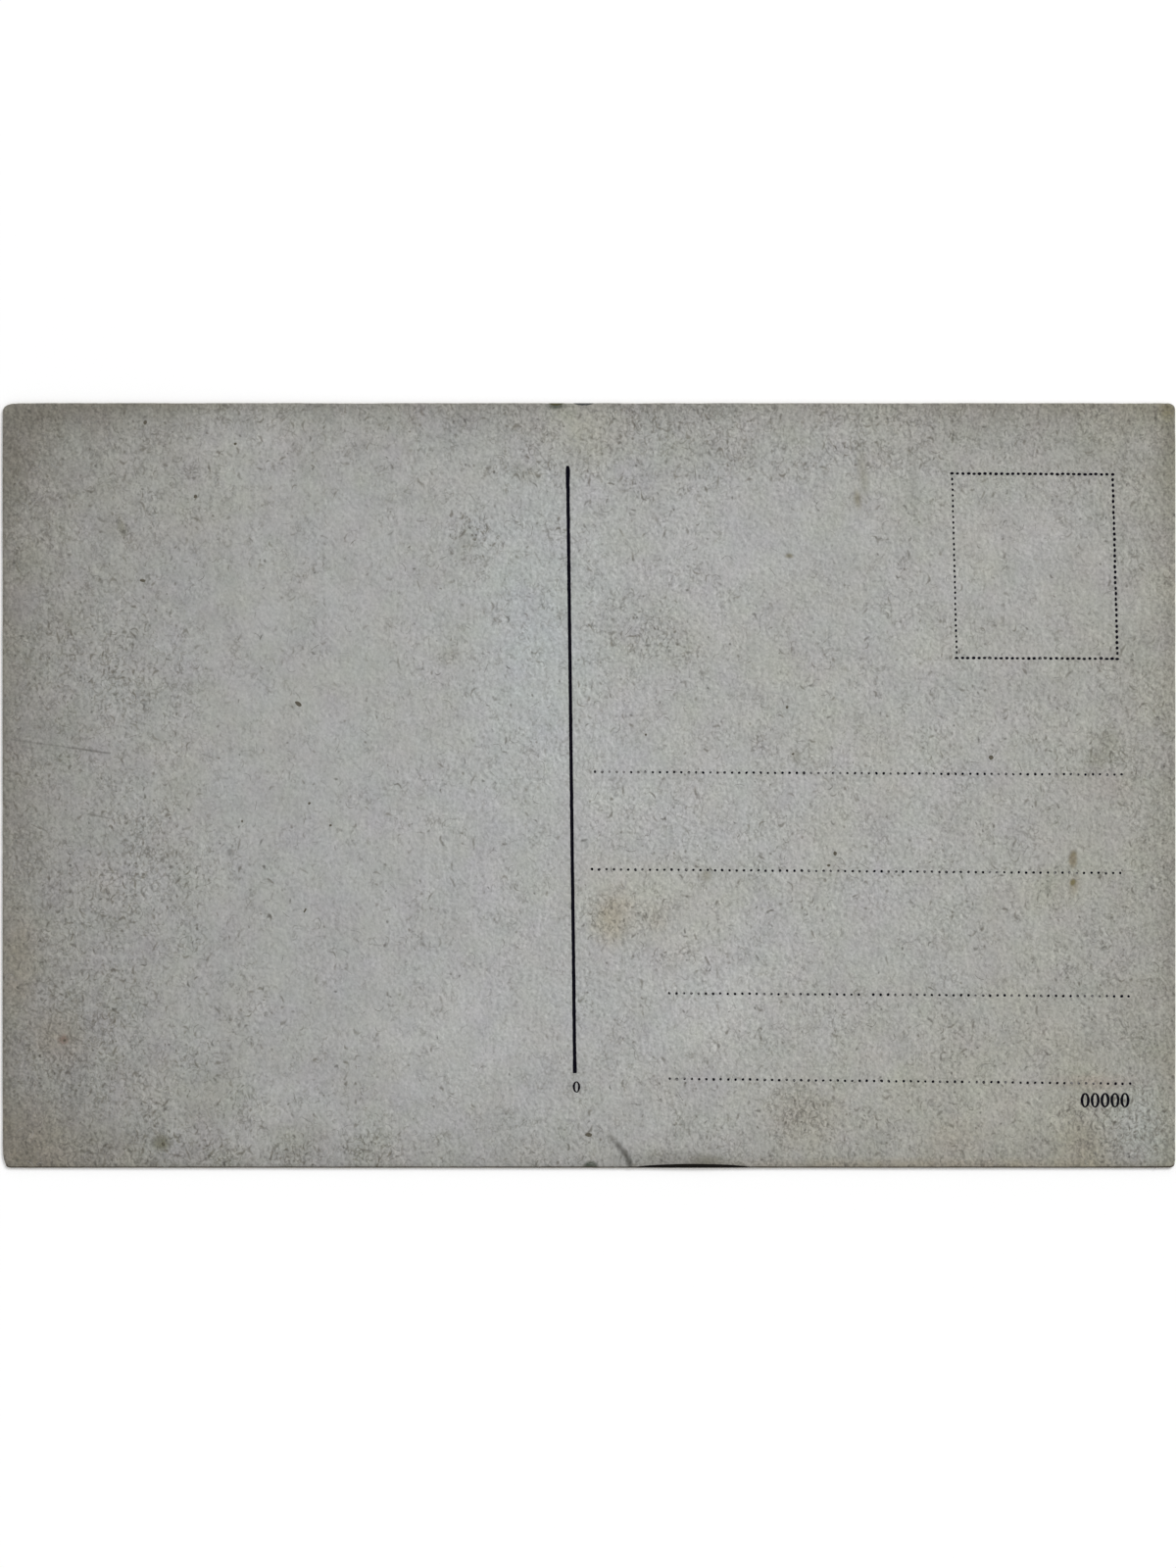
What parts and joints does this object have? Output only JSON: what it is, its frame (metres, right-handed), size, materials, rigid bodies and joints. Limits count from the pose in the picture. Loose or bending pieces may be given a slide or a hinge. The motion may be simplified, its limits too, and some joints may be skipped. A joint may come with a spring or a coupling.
{
  "type": "picture postcard",
  "caption": "Flat paper card of pasted plies with worn corners: a plain divided address side with dotted rules and a stamp frame, and a bordered picture on the other side.",
  "frame": {"origin": "centre of the underside, on the surface that the card lies on", "axes": "+X along the card's length, to the right as the address is read; +Y towards the card's top edge; +Z out of the address side"},
  "size_m": [0.138, 0.09, 0.0004],
  "materials": {
    "picture_ink": "brown printing ink, dull satin",
    "coated_paper": "smooth coated paper, aged cream",
    "paste": "dried starch paste",
    "pulp_board": "rough grey pulp board",
    "pulp_paper": "uncoated grey wood-pulp paper with fibres, toned towards its edges",
    "rule_ink": "blue-black printing ink, matt"
  },
  "bodies": {
    "root": {"picture_print": "picture_ink", "picture_liner": "coated_paper", "picture_paste": "paste", "core_board": "pulp_board", "address_paste": "paste", "address_liner": "pulp_paper", "divider_rule": "rule_ink", "stamp_frame": "rule_ink", "address_rule_1": "rule_ink", "address_rule_2": "rule_ink", "address_rule_3": "rule_ink", "address_rule_4": "rule_ink"}
  },
  "joints": []
}
